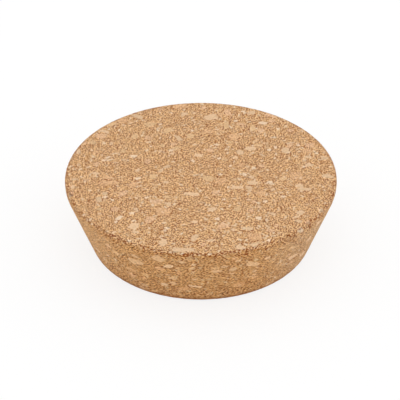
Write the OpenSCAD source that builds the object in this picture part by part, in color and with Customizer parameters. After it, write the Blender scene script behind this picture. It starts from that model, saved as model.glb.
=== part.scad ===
// Tapered stopper of pressed cork granules, the wide shallow kind that closes a jar or a canister.
// It is cut from a flat board as one round blank. The blank's side is ground to a taper, which
// leaves a short straight band of the cut edge under the top face. The edges are eased by tumbling.
// The stopper stands on its foot, with the origin at the centre of the foot and +Z up.

/* [Stopper] */
// Diameter of the straight band, the widest part of the stopper
rim_d = 93; // [82:0.5:120]
// Diameter of the foot, the narrow end that goes into the mouth first, at its sharp corner
foot_d = 77; // [50:0.5:88]
// Height from the foot to the top face, which is the thickness of the board
height = 25; // [12:0.5:50]

/* [Edges] */
// Height of the straight band under the top face, with the rim's round in it
band_h = 2.4; // [1.2:0.1:8]
// Radius of the round between the top face and the band
rim_round = 1; // [0.2:0.1:2.2]
// Radius of the round between the taper and the foot
foot_round = 0.4; // [0.2:0.1:3]

/* [Hidden] */
$fn = 180;

rim_r = rim_d / 2;
foot_r = foot_d / 2;

// The taper runs up from the foot's corner to the shoulder, where the band begins.
foot_corner = [foot_r, 0];
shoulder = [rim_r, height - band_h];
taper_angle = atan2(shoulder.x - foot_corner.x, shoulder.y - foot_corner.y);

// The taper leans out, so the foot's corner is blunt, and its round touches both sides this far
// from the corner.
foot_corner_angle = 90 + taper_angle;
foot_touch = foot_round / tan(foot_corner_angle / 2);

// A point on the taper, at a distance along it from the foot's corner.
function on_taper(distance) =
    foot_corner + distance * [sin(taper_angle), cos(taper_angle)];

// Half of the section, from the axis outwards: the foot's two touching points, the shoulder, and
// the two touching points of the rim's round. The rounds fill the corners that it cuts off.
module half_section() {
    polygon([
        [0, 0],
        [foot_r - foot_touch, 0],
        on_taper(foot_touch),
        shoulder,
        [rim_r, height - rim_round],
        [rim_r - rim_round, height],
        [0, height]
    ]);
    translate([foot_r - foot_touch, foot_round]) circle(r = foot_round);
    translate([rim_r - rim_round, height - rim_round]) circle(r = rim_round);
}

// The whole stopper, turned from its half section.
module cork_stopper() {
    color([0.79, 0.62, 0.44])
        rotate_extrude()
            half_section();
}

cork_stopper();
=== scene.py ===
"""A tapered stopper of pressed cork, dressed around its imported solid.

The stopper is made here as it is made in the shop. A round blank is cut from a pressed board, its
side is ground to a taper, its edges are eased, and its skin is then broken by what the cutter and
the grinder tear out. Larger flakes of bark lie in a ground of fine granules. The flakes are laid
as slabs through the whole body, so that one which crosses an edge shows on both of its sides.
"""

import logging
import math
from collections.abc import Callable
from dataclasses import dataclass, field
from enum import Enum

import bmesh
import bpy
import numpy as np
from mathutils import Matrix, Vector, noise


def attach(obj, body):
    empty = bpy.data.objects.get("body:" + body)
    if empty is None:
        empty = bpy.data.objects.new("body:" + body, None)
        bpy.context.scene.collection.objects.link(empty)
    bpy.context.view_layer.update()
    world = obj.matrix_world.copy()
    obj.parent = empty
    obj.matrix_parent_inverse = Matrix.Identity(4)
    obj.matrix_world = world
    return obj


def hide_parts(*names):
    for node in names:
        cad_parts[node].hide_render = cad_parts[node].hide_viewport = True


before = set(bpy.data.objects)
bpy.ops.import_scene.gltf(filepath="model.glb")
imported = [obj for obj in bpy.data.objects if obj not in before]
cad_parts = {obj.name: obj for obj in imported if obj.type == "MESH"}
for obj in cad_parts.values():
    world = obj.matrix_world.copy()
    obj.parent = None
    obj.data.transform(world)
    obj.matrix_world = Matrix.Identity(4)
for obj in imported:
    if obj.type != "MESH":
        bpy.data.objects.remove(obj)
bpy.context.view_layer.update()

LOG = logging.getLogger("cork_stopper")

MM = 0.001
NEAR = 0.01 * MM
NODE = "cork_stopper"
BODY = "root"
SLOT = "pressed_cork"

# Names of the values that the mesh carries for its finish.
FLAKE_DEPTH = "flake_depth"
FLAKE_COLOUR = "flake_colour"
FLAKE_ACROSS = "flake_across"
TORN = "torn"

Span = tuple[float, float]
Shade = tuple[int, int, int]
Triple = tuple[float, float, float]
Colour = tuple[float, float, float, float]


class Zone(Enum):
    """The four faces of the stopper."""

    TOP = "top"
    BAND = "band"
    TAPER = "taper"
    FOOT = "foot"


class Bark(Enum):
    """The kinds of bark among the flakes.

    Each has its colour as a screen shows it, and how fully it hides the grain round it.
    """

    WHITE = (238, 208, 174, 0.9)
    ASH = (220, 184, 145, 0.9)
    PALE = (227, 190, 150, 0.9)
    STRAW = (220, 181, 135, 0.75)
    ROSY = (222, 179, 141, 0.6)
    RUSSET = (215, 169, 126, 0.55)

    def tinted(self, level: float) -> Colour:
        """Its colour made lighter or darker, with its cover as alpha.

        Args:
            level: What the colour is multiplied by.

        Returns:
            The linear colour.
        """
        *shade, cover = self.value
        red, green, blue, _ = linear(*shade)
        return (red * level, green * level, blue * level, cover)


class Outline(Enum):
    """The outlines that flakes break into.

    Each has its fewest and most sides, how uneven their angles are and how far out they lie.
    """

    SHARD = (4, 5, 0.3, (0.65, 0.9))
    SLAB = (4, 4, 0.1, (0.82, 1.04))
    CHIP = (6, 9, 0.3, (0.82, 1.04))


def linear(red: int, green: int, blue: int) -> Colour:
    """Turns a colour as it is seen on a screen into the one that light is reckoned with.

    Args:
        red: Red, from 0 to 255.
        green: Green, from 0 to 255.
        blue: Blue, from 0 to 255.

    Returns:
        The linear colour with full alpha.
    """
    # The numbers that make up the sRGB curve.
    full, knee, slope, offset, power = 255, 0.04045, 12.92, 0.055, 2.4
    shares = [part / full for part in (red, green, blue)]
    plain = [s / slope if s <= knee else ((s + offset) / (1 + offset)) ** power for s in shares]
    return (*plain, 1.0)


@dataclass(frozen=True)
class StopperSizes:
    """The stopper's sizes, in metres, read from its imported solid."""

    rim_radius: float
    foot_radius: float
    height: float
    shoulder: float
    rim_round: float

    @classmethod
    def from_node(cls, node: bpy.types.Object) -> "StopperSizes":
        """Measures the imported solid.

        Args:
            node: The solid's object.

        Returns:
            Its sizes.
        """
        points = read_points(node.data)
        radius = np.hypot(points[:, 0], points[:, 1])
        level = points[:, 2]
        height = float(level.max())
        rim = float(radius.max())
        top_edge = float(radius[level > height - NEAR].max())
        shoulder = float(level[radius > rim - NEAR].min())
        # The taper leans least of all that lies below it, and is carried on down to the floor.
        low = level < shoulder / 2
        lean = float(((rim - radius[low]) / (shoulder - level[low])).min())
        return cls(rim, rim - lean * shoulder, height, shoulder, rim - top_edge)

    @property
    def lean(self) -> float:
        """How far the taper leans out for each metre that it rises."""
        return (self.rim_radius - self.foot_radius) / self.shoulder

    def side_radius(self, level: np.ndarray) -> np.ndarray:
        """The radius of the side at each level."""
        return np.minimum(self.rim_radius, self.foot_radius + self.lean * level)

    def cover(self, points: np.ndarray) -> np.ndarray:
        """How much cork lies over each point, measured to the nearest face.

        Args:
            points: The points, in metres.

        Returns:
            The depth of each point, in metres and below 0 outside.
        """
        radius = np.hypot(points[:, 0], points[:, 1])
        square = math.cos(math.atan(self.lean))
        side = (self.side_radius(points[:, 2]) - radius) * square
        return np.minimum(side, np.minimum(points[:, 2], self.height - points[:, 2]))


def read_points(mesh: bpy.types.Mesh) -> np.ndarray:
    """Reads the points of a mesh.

    Args:
        mesh: The mesh.

    Returns:
        An array with a row for each point.
    """
    flat = np.empty(len(mesh.vertices) * 3)
    mesh.vertices.foreach_get("co", flat)
    return flat.reshape(-1, 3)


def write_values(mesh: bpy.types.Mesh, name: str, values: np.ndarray) -> None:
    """Stores one number for each point of the mesh under a name."""
    store = mesh.attributes.new(name, "FLOAT", "POINT")
    store.data.foreach_set("value", values.astype(np.float32))


def write_colours(mesh: bpy.types.Mesh, name: str, colours: np.ndarray) -> None:
    """Stores one colour for each point of the mesh under a name."""
    store = mesh.attributes.new(name, "FLOAT_COLOR", "POINT")
    store.data.foreach_set("color", colours.astype(np.float32).ravel())


def smooth_step(span: Span, values: np.ndarray) -> np.ndarray:
    """Rises smoothly from 0 at the start of a span to 1 at its end.

    Args:
        span: Where the rise starts and where it ends.
        values: The places, in the span or beside it.

    Returns:
        How far it has risen at each place.
    """
    low, high = span
    share = np.clip((values - low) / (high - low), 0, 1)
    return share * share * (3 - 2 * share)


def grain(points: np.ndarray, pitch: float, octaves: int = 2) -> np.ndarray:
    """Smooth noise of about -1 to 1 at each point.

    Args:
        points: The points, in metres.
        pitch: The width of the coarsest waves, in metres.
        octaves: How many finer layers are added up.

    Returns:
        The noise at each point.
    """
    fading, fineness = 1.0, 2.0
    spots = points / pitch
    return np.array([noise.fractal(Vector(spot), fading, fineness, octaves) for spot in spots])


@dataclass(frozen=True)
class Flake:
    """A flat-sided slab of bark in the board. Its lengths are in metres."""

    centre: Triple
    length: float
    width: float
    thickness: float
    turned: Matrix
    colour: Colour
    corners: tuple[Span, ...]

    def depth(self, points: np.ndarray) -> tuple[np.ndarray, np.ndarray]:
        """How deep points lie inside the slab.

        Args:
            points: The points to test, in metres.

        Returns:
            Two arrays. The first is the depth, below 0 outside. The second is the place across
            the slab's long side.
        """
        axes = np.array(self.turned)
        local = (points - np.array(self.centre)) @ axes
        inside = self.thickness / 2 - np.abs(local[:, 2])
        for angle, reach in self.corners:
            facing = (math.cos(angle), math.sin(angle))
            support = math.hypot(self.length * facing[0], self.width * facing[1]) / 2
            side = support * reach - local[:, 0] * facing[0] - local[:, 1] * facing[1]
            inside = np.minimum(inside, side)
        return inside, local[:, 1]


@dataclass(frozen=True)
class OnTop:
    """A place on the top face, in millimetres from its middle."""

    right: float
    back: float

    def seat(self, sizes: StopperSizes) -> tuple[Vector, Matrix]:
        """The place in metres, and the axes along and out of the skin there."""
        return Vector((self.right * MM, self.back * MM, sizes.height)), Matrix.Identity(3)


@dataclass(frozen=True)
class OnSide:
    """A place on the side: degrees round from the front, millimetres up."""

    around: float
    level: float

    def seat(self, sizes: StopperSizes) -> tuple[Vector, Matrix]:
        """The place in metres, and the axes along and out of the skin there.

        Args:
            sizes: The stopper's sizes.

        Returns:
            The place, and a matrix that has the axes as its columns.
        """
        angle = math.radians(self.around)
        level = self.level * MM
        radius = float(sizes.side_radius(np.array(level)))
        centre = Vector((radius * math.sin(angle), -radius * math.cos(angle), level))
        lean = sizes.lean if level < sizes.shoulder else 0.0
        out = Vector((math.sin(angle), -math.cos(angle), -lean)).normalized()
        along = Vector((math.cos(angle), math.sin(angle), 0))
        return centre, Matrix((along, out.cross(along), out)).transposed()


@dataclass(frozen=True)
class Laid:
    """What a listed flake is like: its size in millimetres and its turn in degrees."""

    length: float
    width: float
    turn: float
    bark: Bark
    outline: Outline = Outline.CHIP


@dataclass(frozen=True)
class TopFlake(Laid, OnTop):
    """A listed flake in the top face."""


@dataclass(frozen=True)
class SideFlake(Laid, OnSide):
    """A listed flake in the side."""


@dataclass(frozen=True)
class Pit:
    """A pit where a grain fell out, as wide as this in millimetres."""

    width: float = 0.9


@dataclass(frozen=True)
class TopPit(Pit, OnTop):
    """A pit in the top face."""


@dataclass(frozen=True)
class SidePit(Pit, OnSide):
    """A pit in the side."""


# Short names for the rows below. The rows keep their order, because it rules the draws.
WHITE, ASH, PALE, STRAW, ROSY, RUSSET = Bark
SHARD, SLAB, CHIP = Outline

# Each row has millimetres to the right and to the back, length, width, turn, bark and outline.
TOP_FLAKES = (
    # The top face, back left.
    (-22.6, 36.2, 4.2, 1.9, -28, ASH, SLAB),
    (-27.9, 33.4, 3.8, 2.6, 10, RUSSET),
    (-31.9, 31.0, 2.7, 2.2, 40, STRAW),
    (-34.3, 26.2, 4.0, 1.2, -32, PALE),
    (-35.4, 23.2, 4.4, 2.8, -20, ROSY),
    (-38.2, 18.8, 2.8, 1.8, 0, STRAW),
    (-41.0, 18.8, 2.1, 1.5, 80, ROSY),
    (-18.4, 30.9, 4.2, 3.0, 100, STRAW, SHARD),
    (-14.4, 31.0, 1.4, 0.9, 10, WHITE),
    (-27.6, 30.5, 1.6, 1.0, 0, PALE),
    (-11.6, 26.9, 3.4, 3.2, 20, STRAW, SLAB),
    (-3.0, 26.8, 1.3, 1.1, 20, WHITE),
    (-3.6, 23.2, 3.0, 2.7, 0, STRAW, SLAB),
    (-7.8, 21.7, 3.6, 1.6, 108, ASH, SLAB),
    (-18.6, 22.1, 3.0, 2.6, -30, ROSY, SHARD),
    (-23.2, 23.0, 3.6, 1.9, 95, STRAW),
    (-13.3, 16.9, 2.7, 1.3, 95, STRAW),
    (-42.8, 13.3, 3.1, 1.3, 95, ASH),
    (-36.5, 12.9, 2.4, 2.0, 0, RUSSET),
    (-23.3, 10.3, 2.3, 1.5, 0, WHITE),
    (-32.6, 8.9, 3.2, 0.8, 48, WHITE, SLAB),
    (-33.5, 7.7, 1.4, 0.9, 10, WHITE),
    (-36.0, 5.5, 2.5, 1.8, 20, ROSY),
    (-42.2, 5.1, 1.3, 0.8, 0, PALE),
    (-31.5, 18.4, 1.9, 1.5, 80, ASH),
    (-9.6, 17.9, 2.2, 2.0, 0, ROSY),
    (-10.4, 13.8, 1.5, 0.9, 0, WHITE),
    (-10.1, 11.9, 2.3, 0.9, 5, PALE),
    (-14.1, 13.4, 1.4, 1.0, 70, PALE),
    (-0.8, 10.7, 2.7, 1.8, -5, PALE, SLAB),
    (-2.8, 7.3, 1.8, 0.8, -45, WHITE),
    (-12.0, 3.2, 3.2, 1.1, 42, ASH, SLAB),
    (-13.7, 1.2, 2.2, 0.9, 80, ASH),
    (-18.4, 7.1, 3.3, 1.9, 85, ROSY),
    (-21.7, 9.0, 1.1, 0.9, 0, STRAW),
    (-21.6, 1.4, 2.1, 1.2, 75, PALE),
    (-27.2, 13.4, 2.3, 1.5, 100, STRAW),
    (-7.6, 43.0, 5.2, 3.4, 10, RUSSET),
    (-14.9, 41.0, 2.6, 1.5, 60, ROSY),
    (-5.8, 37.8, 3.2, 2.4, 30, PALE, SHARD),
    (-2.3, 38.7, 1.5, 0.9, 100, PALE),
    # The top face, back right.
    (3.7, 35.9, 5.6, 2.6, 52, ASH),
    (1.0, 42.3, 2.8, 2.2, 90, ROSY),
    (9.8, 38.9, 4.1, 2.2, 100, ROSY, SLAB),
    (7.3, 37.6, 2.4, 2.0, 60, RUSSET),
    (18.4, 38.6, 2.6, 2.2, 0, ASH, SLAB),
    (15.4, 39.6, 1.6, 0.9, 0, WHITE),
    (25.4, 36.9, 4.6, 2.1, -30, ROSY, SLAB),
    (25.6, 33.0, 2.3, 2.1, 0, ROSY),
    (22.3, 31.7, 3.4, 1.7, -8, WHITE),
    (12.6, 33.1, 1.5, 1.3, 0, WHITE),
    (14.3, 31.0, 3.1, 1.5, -5, ROSY),
    (7.8, 30.8, 3.7, 1.2, 0, STRAW, SLAB),
    (9.2, 30.3, 5.4, 1.4, 94, STRAW, SLAB),
    (18.5, 28.1, 3.7, 1.7, 95, STRAW, SLAB),
    (21.6, 26.6, 3.0, 2.6, 60, ROSY),
    (27.6, 27.8, 1.4, 0.9, 95, WHITE),
    (32.0, 26.7, 2.6, 2.0, 20, ROSY),
    (11.6, 22.6, 4.1, 3.6, 90, RUSSET),
    (2.5, 26.2, 4.0, 2.1, 0, RUSSET),
    (29.5, 13.9, 3.9, 2.6, 75, ASH),
    (31.4, 17.0, 3.1, 1.5, 60, ROSY),
    (34.2, 18.2, 1.5, 0.7, 0, PALE),
    (34.2, 17.0, 1.3, 1.1, 60, WHITE),
    (38.4, 16.9, 3.1, 2.7, 0, ROSY, SLAB),
    (37.2, 13.0, 3.6, 3.0, 10, RUSSET),
    (37.2, 9.5, 2.9, 1.5, 5, ASH),
    (35.9, 7.5, 1.9, 1.2, 70, ASH),
    (43.0, 8.7, 3.0, 1.2, 20, ASH),
    (37.0, 4.6, 2.7, 1.3, 70, PALE),
    (35.4, 3.4, 1.3, 0.9, 60, WHITE),
    (17.4, 14.9, 4.4, 2.6, 4, PALE, SHARD),
    (20.4, 17.0, 3.2, 1.5, -20, STRAW),
    (13.7, 12.5, 3.3, 2.2, 96, ASH),
    (23.8, 14.1, 1.6, 1.3, -20, WHITE),
    (26.1, 15.8, 2.1, 0.9, 98, WHITE),
    (3.2, 13.7, 3.4, 1.7, -24, ROSY),
    (5.4, 17.4, 1.9, 0.7, 5, WHITE),
    (7.8, 8.1, 4.4, 1.2, -20, STRAW),
    (6.3, 8.7, 1.2, 0.9, 90, WHITE),
    (11.8, 9.3, 2.1, 1.1, 0, PALE),
    (10.2, 4.0, 1.2, 0.9, 60, WHITE),
    (14.0, 4.4, 2.6, 2.0, 75, RUSSET),
    (18.2, 2.7, 1.9, 1.3, 70, WHITE),
    (16.1, 3.6, 1.6, 1.0, 0, PALE),
    (21.1, 4.2, 2.5, 1.5, 120, ROSY),
    # The top face, front left.
    (-36.1, -0.4, 3.0, 1.2, -12, PALE),
    (-38.9, -4.2, 2.1, 1.3, 0, ROSY),
    (-31.9, -3.0, 3.6, 2.0, 0, RUSSET),
    (-31.5, -6.3, 6.4, 2.2, -4, RUSSET, SLAB),
    (-43.4, -12.6, 3.0, 1.5, 80, ROSY),
    (-43.3, -8.4, 2.1, 1.2, 80, PALE),
    (-43.3, -4.0, 2.2, 1.0, 0, ASH),
    (-33.9, -16.1, 3.1, 1.7, 110, ASH, SLAB),
    (-32.0, -14.4, 1.5, 1.1, 20, WHITE),
    (-32.2, -12.4, 2.1, 1.5, 30, ASH),
    (-26.3, -12.6, 5.2, 2.3, 60, ROSY, SHARD),
    (-21.4, -3.5, 2.3, 0.9, 42, WHITE),
    (-16.4, -2.4, 3.1, 2.2, 96, STRAW, SLAB),
    (-22.7, -7.1, 3.6, 3.2, 30, RUSSET),
    (-11.8, -5.7, 1.8, 1.4, -30, PALE),
    (-3.3, -12.8, 5.0, 1.9, -7, PALE, SLAB),
    (-11.5, -14.6, 3.0, 1.2, -8, STRAW),
    (-18.2, -14.8, 1.4, 1.0, 30, WHITE),
    (-15.1, -17.3, 4.2, 2.4, 5, ROSY),
    (-10.6, -18.6, 2.7, 1.3, 95, PALE),
    (-33.4, -21.4, 1.8, 1.6, 0, STRAW),
    (-26.9, -26.4, 3.6, 1.2, 55, WHITE),
    (-27.7, -28.6, 1.2, 0.9, 70, WHITE),
    (-22.6, -23.7, 1.9, 1.1, 0, WHITE),
    (-21.2, -22.0, 3.0, 0.8, 95, PALE),
    (-21.9, -27.9, 1.5, 0.8, 0, WHITE),
    (-21.8, -31.1, 4.4, 3.9, 20, PALE, SHARD),
    (-21.2, -34.2, 2.0, 1.2, 0, PALE),
    (-16.9, -27.4, 4.6, 2.5, 78, ROSY, SHARD),
    (-10.9, -32.0, 1.4, 1.1, 0, WHITE),
    (-11.8, -33.4, 1.2, 0.7, 0, WHITE),
    (-12.2, -39.8, 3.9, 3.3, 50, PALE, SHARD),
    (-2.1, -37.4, 4.3, 1.7, 74, PALE),
    (-5.5, -43.8, 7.6, 1.8, 6, PALE, SLAB),
    (-2.0, -28.7, 1.8, 1.5, 0, PALE),
    (-28.1, -34.2, 1.6, 1.2, 60, PALE),
    (-23.0, -38.9, 1.2, 0.9, 60, WHITE),
    (-12.6, -36.5, 2.0, 0.8, 0, PALE),
    (-12.3, -22.9, 4.8, 4.4, 0, RUSSET),
    # The top face, front right.
    (2.5, -3.4, 4.8, 2.9, -40, STRAW),
    (6.6, -1.2, 1.4, 0.9, 10, WHITE),
    (15.0, -1.3, 2.8, 1.3, -55, WHITE),
    (17.1, -3.0, 2.6, 1.4, -45, ASH),
    (32.4, -2.2, 4.7, 4.4, 0, RUSSET, SLAB),
    (27.7, -4.0, 2.6, 2.0, 0, STRAW),
    (17.4, -6.3, 3.8, 2.3, -20, PALE),
    (23.3, -6.0, 2.0, 1.4, -38, WHITE),
    (6.8, -5.2, 3.9, 2.7, 80, RUSSET, SLAB),
    (12.2, -9.0, 4.8, 1.4, -4, PALE, SLAB),
    (9.2, -8.9, 1.1, 0.8, 30, WHITE),
    (16.2, -9.2, 2.3, 2.0, -45, ASH),
    (33.2, -8.1, 2.9, 1.9, 12, PALE),
    (34.6, -10.1, 4.6, 1.2, -4, PALE, SLAB),
    (43.2, -2.6, 4.6, 1.2, -18, ASH),
    (27.5, -14.4, 1.6, 1.2, 10, WHITE),
    (21.3, -17.2, 1.6, 1.1, 20, WHITE),
    (16.1, -16.1, 1.5, 1.1, 0, PALE),
    (17.6, -17.4, 1.7, 1.3, -40, ROSY),
    (7.6, -16.0, 1.4, 0.9, 0, WHITE),
    (1.7, -14.8, 1.6, 0.8, 0, PALE),
    (19.3, -20.2, 1.6, 0.9, 110, PALE),
    (4.0, -21.3, 2.9, 1.7, 5, PALE),
    (11.8, -21.6, 2.5, 1.6, 80, STRAW),
    (16.6, -22.4, 2.1, 1.8, 60, ROSY),
    (18.9, -26.7, 2.0, 1.8, 0, WHITE),
    (5.4, -27.0, 1.7, 1.4, 70, WHITE),
    (8.3, -28.3, 1.7, 1.1, 0, ROSY),
    (7.4, -30.9, 4.8, 2.3, 0, ROSY, SHARD),
    (15.6, -32.4, 3.3, 2.0, -5, PALE, SHARD),
    (10.2, -33.0, 1.6, 0.9, 0, PALE),
    (12.4, -34.6, 1.7, 0.8, 0, PALE),
    (22.4, -33.5, 3.1, 1.5, 0, ROSY),
    (24.5, -30.8, 1.7, 1.4, 80, ROSY),
    (17.3, -36.9, 4.8, 3.3, 0, RUSSET, SLAB),
    (3.2, -38.7, 3.1, 1.0, 8, PALE),
    (0.8, -41.0, 2.2, 1.5, 60, ROSY),
    (12.5, -42.5, 3.6, 1.6, -25, PALE),
    (17.1, -41.2, 2.6, 1.8, 40, ASH),
    (21.6, -38.8, 1.4, 1.0, 70, WHITE),
    (23.6, -24.3, 2.4, 1.4, -45, PALE),
    (31.2, -26.0, 2.8, 1.0, 22, PALE),
    (31.9, -28.4, 2.5, 0.9, 125, ASH),
    (39.5, -22.2, 2.1, 1.4, 70, PALE),
    (34.7, -29.0, 2.0, 1.6, 50, ROSY),
    (20.3, -12.4, 3.6, 3.4, 0, RUSSET),
    (5.0, -12.0, 3.0, 2.1, 0, ROSY),
)

# Each row has degrees round from the front and millimetres up, and then the same.
SIDE_FLAKES = (
    (-56.5, 9.6, 3.6, 1.8, 0, PALE),
    (-51.5, 7.0, 3.6, 1.6, -10, STRAW),
    (-46.0, 11.8, 1.6, 0.8, 20, WHITE),
    (-42.0, 19.0, 3.0, 1.2, 10, PALE),
    (-42.0, 7.2, 2.2, 0.9, 0, PALE),
    (-41.0, 12.0, 1.3, 0.6, 50, WHITE),
    (-39.0, 16.7, 3.2, 1.6, 0, STRAW),
    (-34.0, 7.4, 3.3, 2.2, 0, ROSY),
    (-33.0, 10.5, 4.2, 1.5, -4, RUSSET),
    (-28.4, 16.6, 6.4, 2.4, 2, PALE),
    (-28.0, 19.6, 3.0, 1.3, 0, ASH),
    (-27.0, 8.0, 2.8, 1.2, 0, RUSSET),
    (-26.0, 10.4, 3.2, 1.0, -8, STRAW),
    (-29.5, 4.9, 1.3, 0.8, 0, WHITE),
    (-28.0, 3.9, 3.2, 1.5, -5, ASH),
    (-23.0, 2.1, 2.8, 0.9, 8, STRAW),
    (-17.6, 16.2, 3.6, 1.6, 4, ROSY),
    (-17.2, 21.6, 4.6, 2.9, -4, PALE),
    (-17.0, 7.4, 2.6, 1.6, 0, WHITE),
    (-14.5, 13.3, 2.0, 0.7, 8, PALE),
    (-13.6, 18.2, 3.8, 1.1, 18, WHITE),
    (-12.9, 3.0, 0.9, 2.0, 0, STRAW),
    (-12.6, 9.0, 2.8, 1.7, 0, PALE),
    (-12.4, 11.8, 3.2, 1.4, 0, PALE),
    (-9.4, 15.2, 1.5, 2.8, 0, RUSSET),
    (-9.0, 2.3, 2.2, 0.9, 0, STRAW),
    (-8.2, 6.2, 5.0, 1.9, 0, RUSSET),
    (-7.6, 21.5, 2.4, 1.0, -20, PALE),
    (-4.4, 23.4, 2.6, 1.6, 35, STRAW),
    (-3.5, 18.2, 1.7, 1.3, 30, PALE),
    (-3.4, 16.0, 1.1, 1.1, 0, PALE),
    (-3.0, 20.3, 1.6, 0.8, 20, WHITE),
    (-3.0, 12.0, 1.4, 0.9, 0, PALE),
    (-2.7, 8.1, 4.6, 0.7, -4, WHITE, SLAB),
    (4.0, 3.6, 2.2, 1.6, 0, STRAW),
    (5.6, 17.9, 3.2, 1.5, 10, STRAW),
    (6.5, 16.4, 3.3, 1.4, 0, PALE),
    (9.0, 2.6, 2.0, 0.9, 0, STRAW),
    (13.4, 16.5, 2.7, 2.2, 20, ASH),
    (13.5, 22.4, 2.3, 1.3, 0, ROSY),
    (15.0, 20.9, 2.3, 1.0, 0, PALE),
    (17.7, 7.0, 4.0, 3.0, 0, RUSSET),
    (21.0, 10.5, 2.8, 1.0, 0, STRAW),
    (22.0, 17.3, 5.6, 1.7, -32, PALE, SLAB),
    (23.7, 12.9, 2.0, 0.9, 0, PALE),
    (24.2, 10.7, 1.7, 1.0, 0, PALE),
    (25.0, 9.3, 2.2, 1.1, -10, ROSY),
    (28.5, 18.4, 2.6, 1.2, -20, PALE),
    (32.5, 16.2, 2.6, 1.0, 0, STRAW),
    (35.0, 1.9, 3.2, 1.4, 0, STRAW),
    (38.0, 4.0, 1.5, 0.6, -50, WHITE),
    (41.0, 14.3, 2.4, 1.0, -10, ROSY),
    (42.0, 18.0, 2.8, 1.1, -10, STRAW),
    (44.6, 24.4, 2.0, 0.9, 0, WHITE),
    (45.5, 11.4, 5.0, 2.0, -10, PALE),
    (46.7, 8.2, 1.8, 1.1, 0, ROSY),
    (55.0, 15.6, 4.0, 1.5, -15, PALE),
    (56.0, 7.2, 4.4, 1.6, -15, PALE),
    (57.0, 21.6, 4.0, 1.8, -15, PALE),
)

HAND_LAID: tuple[TopFlake | SideFlake, ...] = (
    *(TopFlake(*row) for row in TOP_FLAKES),
    *(SideFlake(*row) for row in SIDE_FLAKES),
)

# Each row has a flake's first two values, and the width where it isn't the usual one.
TOP_PITS = (
    (-43.6, -12.8, 1.1), (-43.1, -13.2, 1.0), (-39.0, 9.6), (-28.3, 9.5), (-22.4, 30.9),
    (-19.3, -29.5, 1.2), (-27.3, -6.4), (-10.7, -31.2, 1.1), (-5.5, -42.1), (-4.7, -42.1),
    (-4.4, -21.7), (-31.4, -33.2), (-28.5, -25.0), (-34.0, -10.8), (-34.0, -12.2),
    (-38.3, -10.0), (-8.8, 41.2), (2.8, 23.0), (27.8, 31.1), (36.6, 24.7), (14.8, 14.9),
    (4.2, 12.5, 1.1), (8.4, -11.4, 1.0), (22.2, -11.4, 1.0), (5.4, -3.0), (6.4, -3.1),
    (1.4, -17.8), (37.3, -6.1), (39.6, -1.3), (5.5, -37.6, 0.8), (5.9, -38.6, 0.8),
    (5.6, -39.5, 0.8), (20.5, -28.3), (40.8, -20.3), (28.0, -36.1, 1.1), (31.0, -28.2, 1.0),
)
SIDE_PITS = (
    (-51.8, 24.2), (-28.2, 23.5), (-34.4, 17.3), (-33.4, 17.3), (-26.3, 14.6), (-29.0, 5.6),
    (18.9, 15.2), (32.2, 15.1), (33.8, 23.9), (49.5, 24.0), (21.2, 3.2), (26.7, 5.7),
    (10.3, 3.0),
)

PITS: tuple[TopPit | SidePit, ...] = (
    *(TopPit(*row) for row in TOP_PITS),
    *(SidePit(*row) for row in SIDE_PITS),
)


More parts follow.
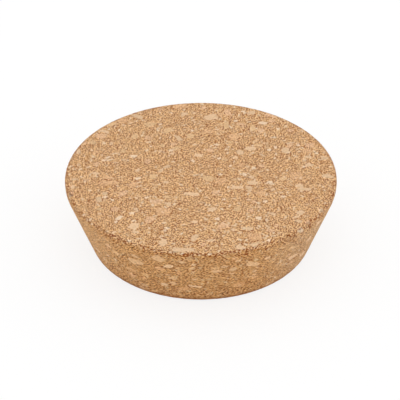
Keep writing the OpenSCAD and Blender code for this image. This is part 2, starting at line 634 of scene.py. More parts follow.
@dataclass
class FlakeBed:
    """All of the larger flakes in the stopper, laid as they settle in the press."""

    sizes: StopperSizes
    seed: int = 11
    count: int = 2300
    middle_length: float = 2.5 * MM
    spread: float = 0.42
    longest: float = 8 * MM
    width_share: Span = (0.36, 0.85)
    thickness_share: Span = (0.4, 0.8)
    most_tilt: float = math.radians(38)
    bark_shares: tuple[float, ...] = (0.07, 0.17, 0.17, 0.2, 0.21, 0.18)
    white_size: float = 0.5
    shade: float = 0.035
    most_shade: float = 1.5
    near_skin: float = 3.5 * MM
    front: float = math.radians(60)
    kept_on_top: float = 0.3
    kept_in_front: float = 0.2
    margin: float = 0.9 * MM
    clear: float = 0.45 * MM
    laid_thickness: float = 2.4 * MM
    laid_margin: float = 0.15 * MM
    flakes: list[Flake] = field(default_factory=list)
    laid: list[Flake] = field(default_factory=list)

    def sides(self, outline: Outline, rng: np.random.Generator) -> tuple[Span, ...]:
        """Picks the broken sides of one flake.

        Args:
            outline: The kind of outline that it has.
            rng: The source of chance.

        Returns:
            The sides, as (angle, reach) pairs.
        """
        fewest, most, uneven, reach = outline.value
        number = int(rng.integers(fewest, most + 1))
        step = math.tau / number
        start = 0.0 if outline is SLAB else rng.uniform(0, step)
        return tuple(
            (start + step * (index + rng.uniform(-uneven, uneven)), rng.uniform(*reach))
            for index in range(number)
        )

    def tinted(self, bark: Bark, rng: np.random.Generator) -> Colour:
        """The colour of one flake of a kind of bark, a little lighter or darker than its kind."""
        swing = float(np.clip(rng.normal(), -self.most_shade, self.most_shade))
        return bark.tinted(1 + self.shade * swing)

    def cast(self, rng: np.random.Generator) -> Flake:
        """Casts one flake into the body by chance.

        Args:
            rng: The source of chance.

        Returns:
            The flake.
        """
        angle = rng.uniform(0, math.tau)
        radius = self.sizes.rim_radius * math.sqrt(rng.uniform())
        level = rng.uniform(0, self.sizes.height)
        centre = (radius * math.cos(angle), radius * math.sin(angle), level)
        length = min(self.longest, self.middle_length * math.exp(self.spread * rng.normal()))
        width = length * rng.uniform(*self.width_share)
        thickness = width * rng.uniform(*self.thickness_share)
        turn = Matrix.Rotation(rng.uniform(0, math.tau), 3, "Z")
        tilt = Matrix.Rotation(rng.uniform(-1, 1) * self.most_tilt, 3, "X")
        roll = Matrix.Rotation(rng.uniform(-1, 1) * self.most_tilt, 3, "Y")
        bark = list(Bark)[int(rng.choice(len(Bark), p=self.bark_shares))]
        if bark is WHITE:
            length *= self.white_size
            width *= self.white_size
        colour = self.tinted(bark, rng)
        corners = self.sides(CHIP, rng)
        return Flake(centre, length, width, thickness, turn @ tilt @ roll, colour, corners)

    def share_kept(self, centre: Triple) -> float:
        """How many of the flakes cast at a place stay, since listed ones are laid there.

        Args:
            centre: The place, in metres.

        Returns:
            Their share.
        """
        radius = math.hypot(*centre[:2])
        if centre[2] > self.sizes.height - self.near_skin:
            return self.kept_on_top
        in_side = radius > self.sizes.foot_radius - self.near_skin
        in_front = centre[1] < -radius * math.cos(self.front)
        return self.kept_in_front if in_side and in_front else 1.0

    def scatter(self) -> None:
        """Scatters flakes through the body and keeps those that can reach the skin."""
        rng = np.random.default_rng(self.seed)
        for _ in range(self.count):
            flake = self.cast(rng)
            stays = rng.uniform() <= self.share_kept(flake.centre)
            cover = float(self.sizes.cover(np.array([flake.centre]))[0])
            if stays and -self.margin < cover < self.near_skin:
                self.flakes.append(flake)

    def lay_by_hand(self) -> None:
        """Lays the flakes that have a place of their own."""
        rng = np.random.default_rng(self.seed + 1)
        for chosen in HAND_LAID:
            centre, axes = chosen.seat(self.sizes)
            turned = axes @ Matrix.Rotation(math.radians(chosen.turn), 3, "Z")
            size = (chosen.length * MM, chosen.width * MM, self.laid_thickness)
            colour = self.tinted(chosen.bark, rng)
            corners = self.sides(chosen.outline, rng)
            self.laid.append(Flake(tuple(centre), *size, turned, colour, corners))

    def lay(self, points: np.ndarray) -> tuple[np.ndarray, np.ndarray, np.ndarray]:
        """Finds what each point of the skin is made of.

        A listed flake also clears a border round itself of the others.

        Args:
            points: The skin's points, in metres.

        Returns:
            Three arrays: the depth inside the nearest flake, that flake's colour, and the place
            across it.
        """
        depth = np.full(len(points), -self.margin)
        colour = np.tile(linear(*PALE.value[:3]), (len(points), 1))
        across = np.zeros(len(points))
        for flakes, grown, clear in (
            (self.flakes, 0.0, -math.inf),
            (self.laid, self.laid_margin, self.clear),
        ):
            for flake in flakes:
                reach = flake.length / 2 + self.margin
                away = points - np.array(flake.centre)
                near = np.nonzero((away * away).sum(1) < reach * reach)[0]
                inside, place = flake.depth(points[near])
                inside += grown
                wins = (inside > depth[near]) | (inside > -clear)
                chosen = near[wins]
                depth[chosen] = inside[wins]
                colour[chosen] = flake.colour
                across[chosen] = place[wins]
        return depth, colour, across


@dataclass(frozen=True)
class Tearing:
    """How the cutter and the grinder tear one zone of the skin. Its lengths are in metres."""

    zone: Zone
    count: int
    width: Span
    depth: Span


@dataclass
class Skin:
    """The relief of the stopper's skin: every depth is taken inwards from the nominal face."""

    sizes: StopperSizes
    seed: int = 23
    deepest: float = 0.7 * MM
    flush: float = 0.02 * MM
    sunk_ground: float = 0.03 * MM
    grain_height: float = 0.045 * MM
    grain_pitch: float = 1.3 * MM
    swell_height: float = 0.03 * MM
    swell_pitch: float = 11 * MM
    flake_edge: Span = (-0.1 * MM, 0.3 * MM)
    flake_rise: float = 0.75
    band_extra: float = 0.03 * MM
    pit_depth: float = 0.42 * MM
    tearings: tuple[Tearing, ...] = (
        Tearing(Zone.TOP, 110, (0.5 * MM, 1.2 * MM), (0.06 * MM, 0.2 * MM)),
        Tearing(Zone.BAND, 80, (0.4 * MM, 1.0 * MM), (0.05 * MM, 0.15 * MM)),
        Tearing(Zone.TAPER, 170, (0.5 * MM, 1.3 * MM), (0.06 * MM, 0.24 * MM)),
        Tearing(Zone.FOOT, 90, (0.5 * MM, 1.4 * MM), (0.06 * MM, 0.24 * MM)),
    )

    def zones_of(self, points: np.ndarray) -> dict[Zone, np.ndarray]:
        """Which points lie in each zone.

        Args:
            points: The skin's points, in metres.

        Returns:
            For each zone, True at its points.
        """
        size = self.sizes
        radius = np.hypot(points[:, 0], points[:, 1])
        level = points[:, 2]
        top = (level > size.height - self.flush) & (radius < size.rim_radius - size.rim_round)
        foot = (level < self.flush) & (radius < size.foot_radius)
        band = (level > size.shoulder) & ~top
        return {Zone.TOP: top, Zone.FOOT: foot, Zone.BAND: band, Zone.TAPER: ~(top | foot | band)}

    def torn(self, points: np.ndarray) -> np.ndarray:
        """Tears grains out of the skin, by chance and at the listed pits.

        Args:
            points: The skin's points, in metres.

        Returns:
            The depth of what is torn out at each point, in metres.
        """
        rng = np.random.default_rng(self.seed)
        depth = np.zeros(len(points))
        zones = self.zones_of(points)
        for tearing in self.tearings:
            places = np.nonzero(zones[tearing.zone])[0]
            for spot in rng.choice(places, tearing.count, replace=False):
                reach = rng.uniform(*tearing.width) / 2
                deep = rng.uniform(*tearing.depth)
                self.sink(depth, points - points[spot], reach, deep)
        for pit in PITS:
            middle, _ = pit.seat(self.sizes)
            self.sink(depth, points - np.array(middle), pit.width * MM / 2, self.pit_depth)
        return depth

    def sink(self, depth: np.ndarray, away: np.ndarray, reach: float, deep: float) -> None:
        """Sinks one round hollow into the depths.

        Args:
            depth: The depth at each point, changed in place, in metres.
            away: Each point as seen from the hollow's middle, in metres.
            reach: The hollow's radius.
            deep: The depth at its middle.
        """
        share = (away * away).sum(1) / (reach * reach)
        near = np.nonzero(share < 1)[0]
        depth[near] = np.maximum(depth[near], deep * (1 - share[near]))

    def relief(self, points: np.ndarray, flake_depth: np.ndarray, torn: np.ndarray) -> np.ndarray:
        """The whole depth of the skin below the nominal face.

        Args:
            points: The skin's points, in metres.
            flake_depth: The depth inside the nearest flake, in metres.
            torn: The depth of what is torn out, in metres.

        Returns:
            The depth at each point, in metres.
        """
        flake = smooth_step(self.flake_edge, flake_depth)
        fine = (1 + grain(points, self.grain_pitch)) / 2
        swell = (1 + grain(points, self.swell_pitch, octaves=1)) / 2
        ground = self.sunk_ground + self.grain_height * fine
        depth = ground * (1 - self.flake_rise * flake) + self.swell_height * swell
        depth += np.where(self.zones_of(points)[Zone.BAND], self.band_extra * fine, 0)
        return np.clip(depth + torn, 0, self.deepest)


@dataclass
class StopperBody:
    """The stopper's body, from the round blank to the finished skin."""

    sizes: StopperSizes
    bed: FlakeBed
    skin: Skin
    blank_sides: int = 360
    rim_steps: int = 6
    foot_round: float = 0.4 * MM
    foot_steps: int = 4
    mesh_pitch: float = 0.52 * MM
    rim_reach: float = 1.5 * MM
    rim_below: float = 0.4 * MM
    body: bpy.types.Object | None = None

    def pick(self, test: Callable[[Vector], bool], mode: str = "VERT") -> None:
        """Selects the points of the body that pass a test, in edit mode.

        Args:
            test: Says whether a point is wanted.
            mode: What the selection is then made of, VERT, EDGE or FACE.
        """
        bpy.ops.mesh.select_mode(type="VERT")
        bpy.ops.mesh.select_all(action="DESELECT")
        work = bmesh.from_edit_mesh(self.body.data)
        for point in work.verts:
            point.select_set(test(point.co))
        work.select_flush(True)
        bmesh.update_edit_mesh(self.body.data)
        bpy.ops.mesh.select_mode(type=mode)

    def cut_blank(self) -> None:
        """Cuts the round blank from the board."""
        size = self.sizes
        bpy.ops.object.select_all(action="DESELECT")
        bpy.ops.mesh.primitive_cylinder_add(
            vertices=self.blank_sides,
            radius=size.rim_radius,
            depth=size.height,
            end_fill_type="NGON",
            location=(0, 0, size.height / 2),
        )
        self.body = bpy.context.object
        self.body.name = "pressed_cork_stopper"
        self.body.data.name = "pressed_cork_stopper"
        bpy.ops.object.transform_apply(location=True, rotation=True, scale=True)

    def grind_taper(self) -> None:
        """Grinds the side to its taper and leaves the straight band under the top face."""
        size = self.sizes
        bpy.ops.object.mode_set(mode="EDIT")
        bpy.ops.mesh.select_all(action="SELECT")
        bpy.ops.mesh.bisect(plane_co=(0, 0, size.shoulder), plane_no=(0, 0, 1))
        self.pick(lambda place: place.z < NEAR)
        share = size.foot_radius / size.rim_radius
        bpy.ops.transform.resize(value=(share, share, 1), center_override=(0, 0, 0))
        bpy.ops.object.mode_set(mode="OBJECT")

    def ease_edges(self) -> None:
        """Rounds the rim and the foot."""
        size = self.sizes
        bpy.ops.object.mode_set(mode="EDIT")
        self.pick(lambda place: place.z > size.height - NEAR, "EDGE")
        bpy.ops.mesh.bevel(offset=size.rim_round, segments=self.rim_steps, affect="EDGES")
        self.pick(lambda place: place.z < NEAR, "EDGE")
        bpy.ops.mesh.bevel(offset=self.foot_round, segments=self.foot_steps, affect="EDGES")
        bpy.ops.object.mode_set(mode="OBJECT")

    def mesh_skin(self) -> None:
        """Covers the body with even small faces, and finer ones at the rim that crumbles most."""
        remesh = self.body.modifiers.new("even_faces", "REMESH")
        remesh.mode = "VOXEL"
        remesh.voxel_size = self.mesh_pitch
        remesh.use_smooth_shade = True
        bpy.ops.object.modifier_apply(modifier=remesh.name)
        inner = self.sizes.rim_radius - self.rim_reach
        lowest = self.sizes.shoulder - self.rim_below
        bpy.ops.object.mode_set(mode="EDIT")
        self.pick(lambda place: place.z > lowest and place.xy.length > inner, "FACE")
        bpy.ops.mesh.subdivide(number_cuts=1)
        bpy.ops.object.mode_set(mode="OBJECT")

    def break_skin(self) -> None:
        """Lays the flakes, tears the skin and sinks it by its relief."""
        mesh = self.body.data
        points = read_points(mesh)
        depth, colour, across = self.bed.lay(points)
        torn = self.skin.torn(points)
        relief = self.skin.relief(points, depth, torn)
        write_values(mesh, FLAKE_DEPTH, depth / MM)
        write_colours(mesh, FLAKE_COLOUR, colour)
        write_values(mesh, FLAKE_ACROSS, across / MM)
        write_values(mesh, TORN, torn / MM)
        group = self.body.vertex_groups.new(name="relief")
        for index, share in enumerate(relief / self.skin.deepest):
            group.add((index,), float(share), "REPLACE")
        sink = self.body.modifiers.new("sink_skin", "DISPLACE")
        sink.strength = -self.skin.deepest
        sink.mid_level = 0
        sink.vertex_group = group.name
        bpy.ops.object.modifier_apply(modifier=sink.name)
        self.body.vertex_groups.clear()

    def build(self) -> bpy.types.Object:
        """Makes the body.

        Returns:
            The finished body's object.
        """
        self.cut_blank()
        self.grind_taper()
        self.ease_edges()
        self.mesh_skin()
        self.break_skin()
        return self.body


PLAIN_WHITE: Colour = (1.0, 1.0, 1.0, 1.0)
GREY: Triple = (0.5, 0.5, 0.5)
ORIGIN: Triple = (0.0, 0.0, 0.0)
UPWARDS: Triple = (0.0, 0.0, 1.0)
LEVEL_ONLY: Triple = (1.0, 1.0, 0.0)
ALONG: Colour = (1.0, 0.0, 0.0, 1.0)
ONWARD: Colour = (0.0, 1.0, 0.0, 1.0)

# Slivers of bark are turned several ways, in radians, and each is drawn out along its length.
SLIVER_WAYS: tuple[Triple, ...] = ((0.2, 0.1, 0.3), (0.1, -0.3, 1.3), (-0.3, 0.2, 2.3))
SLIVER_STRETCH: Triple = (2.4, 1.0, 1.2)


@dataclass(frozen=True)
class Value:
    """What a material works out for each spot: a number, a place in millimetres, or a colour.

    Numbers are added, subtracted and multiplied as usual.
    """

    wiring: "Wiring"
    socket: bpy.types.NodeSocket

    def __add__(self, other: "Feed") -> "Value":
        """Both numbers added up."""
        return self.wiring.reckon("ADD", self, other)

    def __sub__(self, other: "Feed") -> "Value":
        """This number less the other."""
        return self.wiring.reckon("SUBTRACT", self, other)

    def __rsub__(self, other: "Feed") -> "Value":
        """The other number less this one."""
        return self.wiring.reckon("SUBTRACT", other, self)

    def __mul__(self, other: "Feed") -> "Value":
        """Both numbers multiplied."""
        return self.wiring.reckon("MULTIPLY", self, other)

    def swing(self, by: "Feed", middle: float = 0.5) -> "Value":
        """This number's distance from its middle, times another."""
        return (self - middle) * by

    def rise(self, span: Span) -> "Value":
        """Rises smoothly from 0 at the start of a span of this number to 1 at its end."""
        inputs = {"Value": self, "From Min": span[0], "From Max": span[1]}
        return self.wiring.out("Result", "MapRange", inputs, interpolation_type="SMOOTHSTEP")


Feed = Value | float | tuple[float, ...]
Inputs = dict[str | int, Feed]


class Mix(Enum):
    """What a Mix node mixes: its name for it, and its two inputs and its output by number."""

    COLOURS = ("RGBA", 6, 7, 2)
    NUMBERS = ("FLOAT", 2, 3, 0)


class Wiring:
    """A short way to lay out a material's nodes and join them. Its places are in millimetres."""

    def __init__(self, name: str) -> None:
        """Starts a material without nodes.

        Args:
            name: The material's name.
        """
        self.material = bpy.data.materials.new(name)
        self.material.use_nodes = True
        self.tree = self.material.node_tree
        self.tree.nodes.clear()

    def node(self, kind: str, inputs: Inputs, **settings: object) -> bpy.types.Node:
        """Adds a node.

        Args:
            kind: The node's kind, without the first words that all have in common.
            inputs: What is joined to its inputs, or what they are set to.
            **settings: The node's other settings.

        Returns:
            The node.
        """
        made = self.tree.nodes.new(f"ShaderNode{kind}")
        for name, value in settings.items():
            setattr(made, name, value)
        for name, value in inputs.items():
            if isinstance(value, Value):
                self.tree.links.new(value.socket, made.inputs[name])
            else:
                made.inputs[name].default_value = value
        return made

    def out(self, output: str | int, kind: str, inputs: Inputs, **settings: object) -> Value:
        """Adds a node, as node does, and hands over the named output."""
        return Value(self, self.node(kind, inputs, **settings).outputs[output])

    def reckon(self, how: str, first: Feed, second: Feed = 0.0) -> Value:
        """One step of arithmetic with one or two numbers."""
        return self.out("Value", "Math", {0: first, 1: second}, operation=how)

    def vector(self, how: str, first: Feed, second: Feed = ORIGIN) -> Value:
        """One step of reckoning with one or two places."""
        return self.out("Vector", "VectorMath", {0: first, 1: second}, operation=how)

    def scale(self, whole: Value, by: Feed) -> Value:
        """A place or a colour times a number."""
        return self.out("Vector", "VectorMath", {0: whole, "Scale": by}, operation="SCALE")

    def parts(self, whole: Value) -> tuple[Value, ...]:
        """The three parts of a place or a colour."""
        made = self.node("SeparateXYZ", {0: whole})
        return tuple(Value(self, part) for part in made.outputs)

    def blend(
        self, share: Feed, first: Feed, second: Feed, what: Mix = Mix.COLOURS, how: str = "MIX"
    ) -> Value:
        """Mixes two colours or numbers.

        Args:
            share: How much of the second one is taken.
            first: The first one.
            second: The second one.
            what: What is mixed.
            how: The way of mixing colours.

        Returns:
            The mixture.
        """
        kind, low, high, output = what.value
        inputs = {0: share, low: first, high: second}
        return self.out(output, "Mix", inputs, data_type=kind, blend_type=how, clamp_factor=True)

    def waves(self, where: Value, pitch: float, layers: float = 1.0, output: str = "Fac") -> Value:
        """Smooth noise, as a number or a colour.

        Args:
            where: The place.
            pitch: How wide its coarsest waves are.
            layers: How many finer layers are added up.
            output: Fac for a number, or Color.

        Returns:
            The noise.
        """
        inputs = {"Vector": where, "Scale": 1 / pitch, "Detail": layers}
        return self.out(output, "TexNoise", inputs, noise_dimensions="3D")

    def bent(self, where: Value, pitch: float, amount: float) -> Value:
        """Shifts a place by smooth noise.

        Args:
            where: The place.
            pitch: How wide the noise's waves are.
            amount: How far the noise's whole range shifts it.

        Returns:
            The shifted place.
        """
        by = self.vector("SUBTRACT", self.waves(where, pitch, output="Color"), GREY)
        return self.vector("ADD", where, self.scale(by, amount))

    def turned(self, where: Value, angles: Triple, stretch: Triple) -> Value:
        """Turns a place about the middle, so that cells lie askew, and draws them out."""
        inputs = {"Vector": where, "Rotation": angles, "Scale": stretch}
        return self.out("Vector", "Mapping", inputs, vector_type="TEXTURE")

    def cells(self, where: Value, pitch: float) -> tuple[Value, ...]:
        """Three numbers by chance, the same all over each cell about one pitch across."""
        inputs = {"Vector": where, "Scale": 1 / pitch}
        return self.parts(self.out("Color", "TexVoronoi", inputs, voronoi_dimensions="3D"))

    def even_cells(
        self, where: Value, pitch: float, evenness: float, reach: float, ways: tuple[Value, Value]
    ) -> Value:
        """A tone for each cell in which light and dark cells never gather over a wider spot.

        Args:
            where: The place.
            pitch: How wide a cell is.
            evenness: The share of the surroundings' own tone that is taken off again.
            reach: How far off the surroundings are looked at.
            ways: The two directions that run along the skin.

        Returns:
            The tone's distance from its middle.
        """
        tone = self.cells(where, pitch)[0].swing(1.0)
        steps = [(way, step) for way in ways for step in (reach, -reach)]
        for way, step in steps:
            beside = self.vector("ADD", where, self.scale(way, step))
            tone = tone - self.cells(beside, pitch)[0].swing(evenness / len(steps))
        return tone

    def stored(self, name: str, output: str = "Fac") -> Value:
        """What the mesh carries under a name."""
        return self.out(output, "Attribute", {}, attribute_name=name)

    def finish(self, shader: Value) -> bpy.types.Material:
        """Makes a shader the material's surface, and hands over the material."""
        self.node("OutputMaterial", {"Surface": shader})
        return self.material


@dataclass(frozen=True)
class Place:
    """Where a spot of the skin lies, in millimetres."""

    spot: Value
    right: Value
    back: Value
    level: Value
    radius: Value

    @classmethod
    def on(cls, wiring: Wiring) -> "Place":
        """Reads the place from the skin itself.

        Args:
            wiring: The material's wiring.

        Returns:
            The place.
        """
        spot = wiring.scale(wiring.out("Object", "TexCoord", {}), 1 / MM)
        right, back, level = wiring.parts(spot)
        radius = wiring.reckon("SQRT", right * right + back * back)
        return cls(spot, right, back, level, radius)


@dataclass(frozen=True)
class Zones:
    """How far a spot belongs to each part of the skin, from 0 to 1.

    The lip is the rounded rim beside the band. The foot and the edge are the lower parts of the
    side, where shade is painted, and left and right are the two ends of the whole stopper, where
    light is painted on the flanks.
    """

    band: Value
    lip: Value
    side: Value
    foot: Value
    edge: Value
    left: Value
    right: Value


@dataclass(frozen=True)
class Flakes:
    """What the flakes are like at a spot.

    They are there from 0 to 1, and the rim runs just outside them. The cover says how fully
    their bark hides the ground.
    """

    there: Value
    rim: Value
    bark: Value
    cover: Value


@dataclass(frozen=True)
class CorkFinish:
    """Pressed cork: a fine speckled grit with slivers and paler flakes in it.

    A tone runs from 0, a pore, to 1, a speck of pale inner bark. Lengths are in millimetres. The
    band and the lip are measured out from the rim and up from the shoulder, the side out from the
    taper, and both flanks to the right of the middle.
    """

    pore: Shade = (136, 56, 8)
    dark: Shade = (181, 111, 46)
    ground: Shade = (215, 161, 98)
    pale: Shade = (236, 187, 132)
    speck: Shade = (255, 212, 159)
    stops: tuple[float, ...] = (0.0, 0.22, 0.5, 0.75, 1.0)
    middle: float = 0.64
    grit_pitch: float = 0.34
    grit_swing: float = 2.3
    grit_even: float = 0.68
    grit_reach: float = 0.38
    grit_bend: float = 0.2
    bend_pitch: float = 0.5
    sliver_pitch: float = 0.55
    sliver_share: float = 0.02
    sliver_dark: Shade = (226, 184, 140)
    sliver_pale: Shade = (248, 222, 188)
    drift_pitch: float = 9.0
    drift_layers: float = 2.0
    drift_swing: float = 0.02
    fray_pitch: float = 0.9
    fray: float = 0.35
    nibble: float = 0.13
    streak_pitch: float = 0.5
    flake_inside: Span = (-0.08, 0.12)
    flake_swing: float = 0.1
    flake_streak: float = 0.2
    flake_margin: float = 0.08
    margin_reach: Span = (0.4, 0.1)
    rim_reach: Span = (-0.3, -0.06)
    rim_gaps: Span = (0.42, 0.55)
    rim_shade: float = 0.2
    # Painted shade in the tears and pits: the deeper a spot is torn, the darker it is, and the
    # deepest are painted dark brown.
    torn_depth: Span = (0.04, 0.24)
    painted_torn_shade: float = 0.16
    hollow: Shade = (92, 46, 16)
    pit_shadow_depth: Span = (0.16, 0.3)
    painted_pit_shade: float = 0.8
    wander_pitch: float = 1.1
    wander: float = 0.25
    band_out: Span = (-1.35, -1.15)
    band_up: Span = (0.1, 0.9)
    band_shade: float = 0.27
    lip_out: Span = (-2.4, -1.9)
    lip_lift: float = 0.06
    side_out: Span = (-1.2, -0.7)
    # Painted light: the whole side is lifted in tone, as though it were lit more.
    painted_side_light: float = 0.078
    # The side's ground is tinted warmer: partly the ground taper's own browner colour, and partly
    # painted shade, the deeper colour that the side takes in shade.
    side_warmth_and_shade: Shade = (255, 243, 218)
    side_veil: float = 0.25
    side_along: float = 0.66
    side_up: float = 1.6
    # Painted light on both flanks of the side: their tone is lifted, and the warm tint is spared
    # there, most on the right.
    right_flank: Span = (16.0, 34.0)
    left_flank: Span = (-22.0, -36.0)
    painted_flank_light: float = 0.06
    painted_left_light: float = 0.4
    flake_paleness: float = 0.6
    # Painted shade: the side darkens towards the foot, where less light reaches it.
    foot_levels: Span = (16.0, 0.0)
    painted_foot_shade: float = 0.05
    # Painted shade along the foot's bottom edge: an orange-brown tint, half spared on the right
    # flank that is painted as lit.
    painted_edge_levels: Span = (2.6, 0.4)
    edge: Shade = (160, 90, 34)
    painted_edge_shade: float = 0.62
    edge_spared_where_lit: float = 0.5
    rough: float = 0.86
    flake_rough: float = 0.7
    gloss: float = 0.3
    sheen: float = 0.03
    bump_height: float = 0.12
    flake_height: float = 0.6

    def tones(self, wiring: Wiring, tone: Value) -> Value:
        """Turns a tone into its colour.

        Args:
            wiring: The material's wiring.
            tone: The tone.

        Returns:
            The colour.
        """
        ramp = wiring.node("ValToRGB", {"Fac": tone})
        ladder = ramp.color_ramp.elements
        for extra in self.stops[1:-1]:
            ladder.new(extra)
        colours = (self.pore, self.dark, self.ground, self.pale, self.speck)
        for rung, stop, colour in zip(ladder, self.stops, colours, strict=True):
            rung.position = stop
            rung.color = linear(*colour)
        return Value(wiring, ramp.outputs["Color"])

    def zones(self, wiring: Wiring, place: Place, sizes: StopperSizes) -> Zones:
        """Parts the skin into its zones. The edges of the band and the lip wander a little.

        Args:
            wiring: The material's wiring.
            place: Where the spot is.
            sizes: The stopper's sizes.

        Returns:
            How far the spot belongs to each of the zones.
        """
        wander = wiring.waves(place.spot, self.wander_pitch).swing(self.wander)
        out = place.radius + wander - sizes.rim_radius / MM
        above = (place.level + wander - sizes.shoulder / MM).rise(self.band_up)
        band = out.rise(self.band_out) * above
        past_taper = place.radius - sizes.foot_radius / MM - place.level * sizes.lean
        side = past_taper.rise(self.side_out)
        return Zones(
            band=band,
            lip=out.rise(self.lip_out) * (above - band),
            side=side,
            foot=side * place.level.rise(self.foot_levels),
            edge=side * place.level.rise(self.painted_edge_levels),
            left=place.right.rise(self.left_flank),
            right=place.right.rise(self.right_flank),
        )

    def unrolled(self, wiring: Wiring, place: Place, side: Value) -> tuple[Value, Value, Value]:
        """Says where the grit is looked up. The side is rolled out flat for it.

        Args:
            wiring: The material's wiring.
            place: Where the spot is.
            side: 1 on the side and 0 elsewhere.

        Returns:
            The place that stands for the spot, and the two directions that run along the skin.
        """
        outward = wiring.vector("NORMALIZE", wiring.vector("MULTIPLY", place.spot, LEVEL_ONLY))
        around = wiring.vector("CROSS_PRODUCT", UPWARDS, outward)
        walked = wiring.reckon("ARCTAN2", place.right, place.back * -1.0) * place.radius
        flat = {"X": walked * self.side_along, "Y": place.level * self.side_up, "Z": place.radius}
        rolled = wiring.out("Vector", "CombineXYZ", flat)
        upright = wiring.reckon("ROUND", side)
        pairs = ((place.spot, rolled), (around, ALONG), (outward, ONWARD))
        return tuple(wiring.blend(upright, lying, standing) for lying, standing in pairs)

    def grit(self, wiring: Wiring, where: Value, ways: tuple[Value, Value]) -> tuple[Value, Value]:
        """The tone of the ground between the flakes.

        Args:
            wiring: The material's wiring.
            where: The place.
            ways: The two directions that run along the skin.

        Returns:
            The tone, and the part of it that varies from grain to grain.
        """
        bent = wiring.bent(where, self.bend_pitch, self.grit_bend)
        own = wiring.even_cells(bent, self.grit_pitch, self.grit_even, self.grit_reach, ways)
        fine = own * self.grit_swing
        drift = wiring.waves(where, self.drift_pitch, self.drift_layers).swing(self.drift_swing)
        return fine + drift + self.middle, fine

    def slivers(self, wiring: Wiring, where: Value, ground: Value) -> Value:
        """Strews slivers of bark, too small to be laid as flakes, over the ground's colour.

        Args:
            wiring: The material's wiring.
            where: The place.
            ground: The ground's colour.

        Returns:
            The colour with the slivers in it.
        """
        bent = wiring.bent(where, self.bend_pitch, self.grit_bend)
        for way in SLIVER_WAYS:
            drawn = wiring.turned(bent, way, SLIVER_STRETCH)
            own, chance, _ = wiring.cells(drawn, self.sliver_pitch)
            there = wiring.reckon("LESS_THAN", chance, self.sliver_share)
            bark = wiring.blend(own, linear(*self.sliver_dark), linear(*self.sliver_pale))
            ground = wiring.blend(there, ground, bark)
        return ground

    def flakes(self, wiring: Wiring, where: Value, fine: Value) -> Flakes:
        """The flakes' colour and where they show.

        Args:
            wiring: The material's wiring.
            where: The place.
            fine: The part of the ground's tone that varies from grain to grain.

        Returns:
            What the flakes are like there.
        """
        wave = wiring.waves(where, self.fray_pitch)
        depth = wiring.stored(FLAKE_DEPTH) + wave.swing(self.fray) + fine * self.nibble
        inside = depth.rise(self.flake_inside)
        across = {"W": wiring.stored(FLAKE_ACROSS), "Scale": 1 / self.streak_pitch}
        streak = wiring.out("Fac", "TexNoise", across, noise_dimensions="1D")
        level = fine * self.flake_swing + 1.0 + streak.swing(self.flake_streak)
        level = level + depth.rise(self.margin_reach) * self.flake_margin
        return Flakes(
            there=inside,
            rim=depth.rise(self.rim_reach) * wave.rise(self.rim_gaps) * (1.0 - inside),
            bark=wiring.scale(wiring.stored(FLAKE_COLOUR, "Color"), level),
            cover=wiring.stored(FLAKE_COLOUR, "Alpha"),
        )

    def fall(self, zones: Zones, torn: Value) -> Value:
        """How much darker than the plain ground the skin is.

        Args:
            zones: How far the spot belongs to each of the zones.
            torn: The depth of what is torn out.

        Returns:
            What is taken off the tone.
        """
        # Painted shade darkens the tears and the side towards the foot; painted light lifts the
        # side, and its flanks more.
        fall = torn.rise(self.torn_depth) * self.painted_torn_shade
        fall = fall + zones.band * self.band_shade - zones.lip * self.lip_lift
        fall = fall + zones.foot * self.painted_foot_shade - zones.side * self.painted_side_light
        return fall - zones.side * (zones.left + zones.right) * self.painted_flank_light

    def laid_over(
        self, wiring: Wiring, ground: Value, flakes: Flakes, fall: Value, zones: Zones
    ) -> Value:
        """Lays the flakes on the ground, and tints the side and the foot's edge.

        Args:
            wiring: The material's wiring.
            ground: The ground's colour.
            flakes: What the flakes are like.
            fall: How much darker than the plain ground the skin is.
            zones: How far the spot belongs to each of the zones.

        Returns:
            The colour of the skin.
        """
        covered = flakes.there * (1.0 - zones.side * self.side_veil) * flakes.cover
        colour = wiring.blend(covered, ground, flakes.bark)
        # The flakes take the same painted shade and light as the ground.
        colour = wiring.scale(colour, 1.0 - fall * flakes.there)
        # The warm tint, partly the side's own colour and partly painted shade, is spared on the
        # flakes and on the flanks painted as lit.
        flank_light_and_flakes = zones.left * self.painted_left_light + zones.right + covered * self.flake_paleness
        warmth_and_shade_share = zones.side * (1.0 - flank_light_and_flakes)
        colour = wiring.blend(warmth_and_shade_share, colour, linear(*self.side_warmth_and_shade), how="MULTIPLY")
        # Painted shade along the foot's bottom edge.
        edge = zones.edge * (1.0 - zones.right * self.edge_spared_where_lit) * self.painted_edge_shade
        return wiring.blend(edge, colour, linear(*self.edge))

    def material(self, sizes: StopperSizes) -> bpy.types.Material:
        """Builds the material.

        Args:
            sizes: The stopper's sizes, for the zones of its skin.

        Returns:
            The finished material.
        """
        wiring = Wiring(SLOT)
        place = Place.on(wiring)
        zones = self.zones(wiring, place, sizes)
        where, around, onward = self.unrolled(wiring, place, zones.side)
        tone, fine = self.grit(wiring, where, (around, onward))
        flakes = self.flakes(wiring, place.spot, fine)
        torn = wiring.stored(TORN)
        fall = self.fall(zones, torn)
        tone = tone - flakes.rim * self.rim_shade - fall
        ground = self.slivers(wiring, place.spot, self.tones(wiring, tone))
        colour = self.laid_over(wiring, ground, flakes, fall, zones)
        # Painted shade: the deepest tears and pits are painted dark brown.
        pit_shadow_share = torn.rise(self.pit_shadow_depth) * self.painted_pit_shade
        height = wiring.blend(flakes.there, tone, self.flake_height, Mix.NUMBERS)
        bump = {"Distance": self.bump_height * MM, "Height": height}
        looks = {
            "Base Color": wiring.blend(pit_shadow_share, colour, linear(*self.hollow)),
            "Roughness": wiring.blend(flakes.there, self.rough, self.flake_rough, Mix.NUMBERS),
            "Specular IOR Level": self.gloss,
            "Sheen Weight": self.sheen,
            "Normal": wiring.out("Normal", "Bump", bump),
        }
        return wiring.finish(wiring.out("BSDF", "BsdfPrincipled", looks))


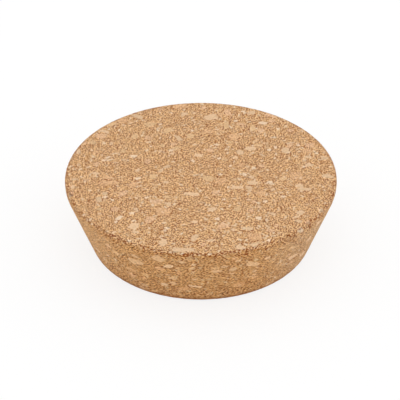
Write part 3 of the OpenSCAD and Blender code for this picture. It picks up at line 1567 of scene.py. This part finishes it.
@dataclass(frozen=True)
class FloorFinish:
    """A plain white floor that lifts the background and keeps a soft shadow."""

    colour: float = 0.8
    seen_colour: float = 1.0
    lift: float = 0.8

    def plain(self, wiring: Wiring, level: float) -> Value:
        """A plain grey surface of one level."""
        return wiring.out("BSDF", "BsdfDiffuse", {"Color": (level, level, level, 1.0)})

    def material(self) -> bpy.types.Material:
        """Builds the floor's material.

        Returns:
            The finished material.
        """
        wiring = Wiring("plain_floor")
        rays = wiring.node("LightPath", {}).outputs
        camera, glossy, through = (
            Value(wiring, rays[f"Is {kind} Ray"]) for kind in ("Camera", "Glossy", "Transmission")
        )
        seen = wiring.reckon("MINIMUM", camera + glossy + through, 1.0)
        glow = wiring.out("Emission", "Emission", {})
        lifted = {0: self.lift, 1: self.plain(wiring, self.seen_colour), 2: glow}
        bright = wiring.out("Shader", "MixShader", lifted)
        both = {0: seen, 1: self.plain(wiring, self.colour), 2: bright}
        return wiring.finish(wiring.out("Shader", "MixShader", both))


@dataclass
class Studio:
    """The floor, the soft light and the camera."""

    floor_size: float = 6.0
    sky: float = 0.93
    panel_size: float = 0.9
    top_panel: float = 0.8
    left_panel: float = 1.2
    right_panel: float = 2.4
    panel_away: float = 1.2
    panel_level: float = 0.3
    distance: float = 511.5 * MM
    elevation: float = math.radians(35.16)
    aim_level: float = 13.47 * MM
    aim_side: float = -0.31 * MM
    roll: float = math.radians(-0.123)
    picture_width: float = 400
    focal_pixels: float = 1476.5
    sensor: float = 36.0
    nearest: float = 10 * MM

    def lay_floor(self) -> bpy.types.Object:
        """Lays the floor.

        Returns:
            The floor's object.
        """
        bpy.ops.object.select_all(action="DESELECT")
        bpy.ops.mesh.primitive_plane_add(size=self.floor_size)
        floor = bpy.context.object
        floor.name = "studio_floor"
        floor.data.materials.append(FloorFinish().material())
        return floor

    def hang_lights(self) -> None:
        """Sets the even sky and hangs soft panels over and beside the stopper."""
        world = bpy.data.worlds.new("even_sky")
        bpy.context.scene.world = world
        world.use_nodes = True
        sky = world.node_tree.nodes["Background"]
        sky.inputs["Color"].default_value = PLAIN_WHITE
        sky.inputs["Strength"].default_value = self.sky
        away = self.panel_away
        for name, place, power in (
            ("top_panel", Vector((0, 0, away)), self.top_panel),
            ("left_panel", Vector((-away, 0, self.panel_level)), self.left_panel),
            ("right_panel", Vector((away, 0, self.panel_level)), self.right_panel),
        ):
            turn = place.to_track_quat("Z", "Y").to_euler()
            bpy.ops.object.light_add(type="AREA", location=place, rotation=turn)
            panel = bpy.context.object
            panel.name = name
            panel.data.shape = "SQUARE"
            panel.data.size = self.panel_size
            panel.data.energy = power

    def set_camera(self) -> bpy.types.Object:
        """Sets up the camera.

        Returns:
            The camera's object.
        """
        back = Vector((0, -math.cos(self.elevation), math.sin(self.elevation)))
        target = Vector((self.aim_side, 0, self.aim_level))
        tip = Matrix.Rotation(math.pi / 2 - self.elevation, 4, "X")
        turn = tip @ Matrix.Rotation(self.roll, 4, "Z")
        bpy.ops.object.camera_add()
        camera = bpy.context.object
        camera.name = "studio_camera"
        camera.matrix_world = Matrix.Translation(target + back * self.distance) @ turn
        camera.data.sensor_width = self.sensor
        camera.data.lens = self.focal_pixels / self.picture_width * self.sensor
        camera.data.clip_start = self.nearest
        bpy.context.scene.camera = camera
        return camera


def main() -> None:
    """Builds the stopper and its studio, and reports each piece."""
    logging.basicConfig(level=logging.INFO, format="%(message)s")
    bpy.context.scene.view_settings.view_transform = "Standard"
    sizes = StopperSizes.from_node(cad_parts[NODE])
    LOG.info("sizes %s", sizes)
    bed = FlakeBed(sizes)
    bed.scatter()
    bed.lay_by_hand()
    LOG.info("%d flakes near the skin and %d laid by hand", len(bed.flakes), len(bed.laid))
    stopper = StopperBody(sizes, bed, Skin(sizes)).build()
    stopper.data.materials.append(CorkFinish().material(sizes))
    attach(stopper, BODY)
    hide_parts(NODE)
    LOG.info("%s: %d faces", stopper.name, len(stopper.data.polygons))
    studio = Studio()
    floor = studio.lay_floor()
    studio.hang_lights()
    camera = studio.set_camera()
    LOG.info("studio set with %s and %s", floor.name, camera.name)


if __name__ == "__main__":
    main()
